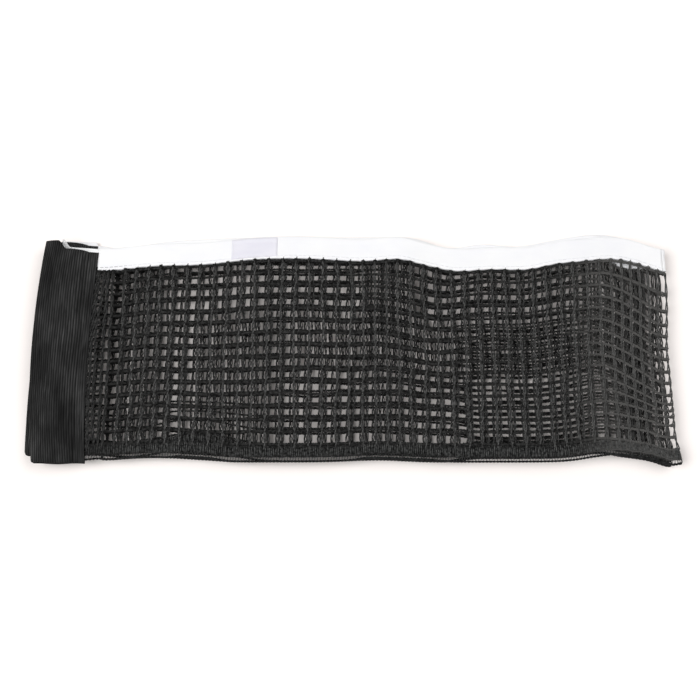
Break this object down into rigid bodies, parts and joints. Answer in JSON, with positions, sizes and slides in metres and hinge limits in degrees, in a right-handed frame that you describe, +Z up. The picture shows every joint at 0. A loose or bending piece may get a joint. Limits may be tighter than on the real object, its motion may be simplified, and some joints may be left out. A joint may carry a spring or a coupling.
{
  "type": "table tennis net",
  "caption": "Knitted table tennis net with a white top tape, a dense hem and ribbed end sleeves, folded in four and laid flat.",
  "frame": {"origin": "centre of the bounding box's base, under the folded pile", "axes": "+X along the folded net, away from the sleeves; +Y from the hem to the tape; +Z up through the pile"},
  "size_m": [0.4132, 0.155, 0.0159],
  "materials": {
    "mesh": "matt black knitted polyester",
    "tape": "white woven cotton tape",
    "tension_cord": "white twisted cord",
    "hem": "matt black dense knit",
    "edge_cord": "matt black twisted cord",
    "sleeve": "black ribbed knit with a soft sheen",
    "label": "white satin, bare"
  },
  "bodies": {
    "lowest_panel": {"mesh_panel_4": "mesh", "tape_panel_4": "tape", "tension_cord_4": "tension_cord", "hem_panel_4": "hem", "edge_cord_4": "edge_cord", "back_sleeve": "sleeve", "mesh_fold_lower_right": "mesh", "tape_fold_lower_right": "tape", "tension_cord_fold_lower_right": "tension_cord", "hem_fold_lower_right": "hem", "edge_cord_fold_lower_right": "edge_cord"},
    "third_panel": {"mesh_panel_3": "mesh", "tape_panel_3": "tape", "tension_cord_3": "tension_cord", "hem_panel_3": "hem", "edge_cord_3": "edge_cord", "mesh_fold_left": "mesh", "tape_fold_left": "tape", "tension_cord_fold_left": "tension_cord", "hem_fold_left": "hem", "edge_cord_fold_left": "edge_cord"},
    "second_panel": {"mesh_panel_2": "mesh", "tape_panel_2": "tape", "tension_cord_2": "tension_cord", "hem_panel_2": "hem", "edge_cord_2": "edge_cord", "mesh_fold_upper_right": "mesh", "tape_fold_upper_right": "tape", "tension_cord_fold_upper_right": "tension_cord", "hem_fold_upper_right": "hem", "edge_cord_fold_upper_right": "edge_cord"},
    "top_panel": {"mesh_panel_1": "mesh", "tape_panel_1": "tape", "tension_cord_1": "tension_cord", "hem_panel_1": "hem", "edge_cord_1": "edge_cord", "front_sleeve": "sleeve", "label": "label"}
  },
  "joints": [
    {"name": "lower_right_fold", "type": "hinge", "parent": "lowest_panel", "child": "third_panel", "pos_m": [0.19903, 0.00024, 0.00275], "axis": [0, 1, 0], "range_deg": [0, 180], "deforming": ["mesh_fold_lower_right", "tape_fold_lower_right", "tension_cord_fold_lower_right", "hem_fold_lower_right", "edge_cord_fold_lower_right"]},
    {"name": "left_fold", "type": "hinge", "parent": "third_panel", "child": "second_panel", "pos_m": [-0.15598, 0.00024, 0.00545], "axis": [0, -1, 0], "range_deg": [0, 180], "deforming": ["mesh_fold_left", "tape_fold_left", "tension_cord_fold_left", "hem_fold_left", "edge_cord_fold_left"]},
    {"name": "upper_right_fold", "type": "hinge", "parent": "second_panel", "child": "top_panel", "pos_m": [0.20403, 0.00024, 0.00815], "axis": [0, 1, 0], "range_deg": [0, 180], "deforming": ["mesh_fold_upper_right", "tape_fold_upper_right", "tension_cord_fold_upper_right", "hem_fold_upper_right", "edge_cord_fold_upper_right"]}
  ],
  "couplings": [
    {"joint": "left_fold", "follows": "lower_right_fold", "ratio": 1},
    {"joint": "upper_right_fold", "follows": "lower_right_fold", "ratio": 1}
  ]
}
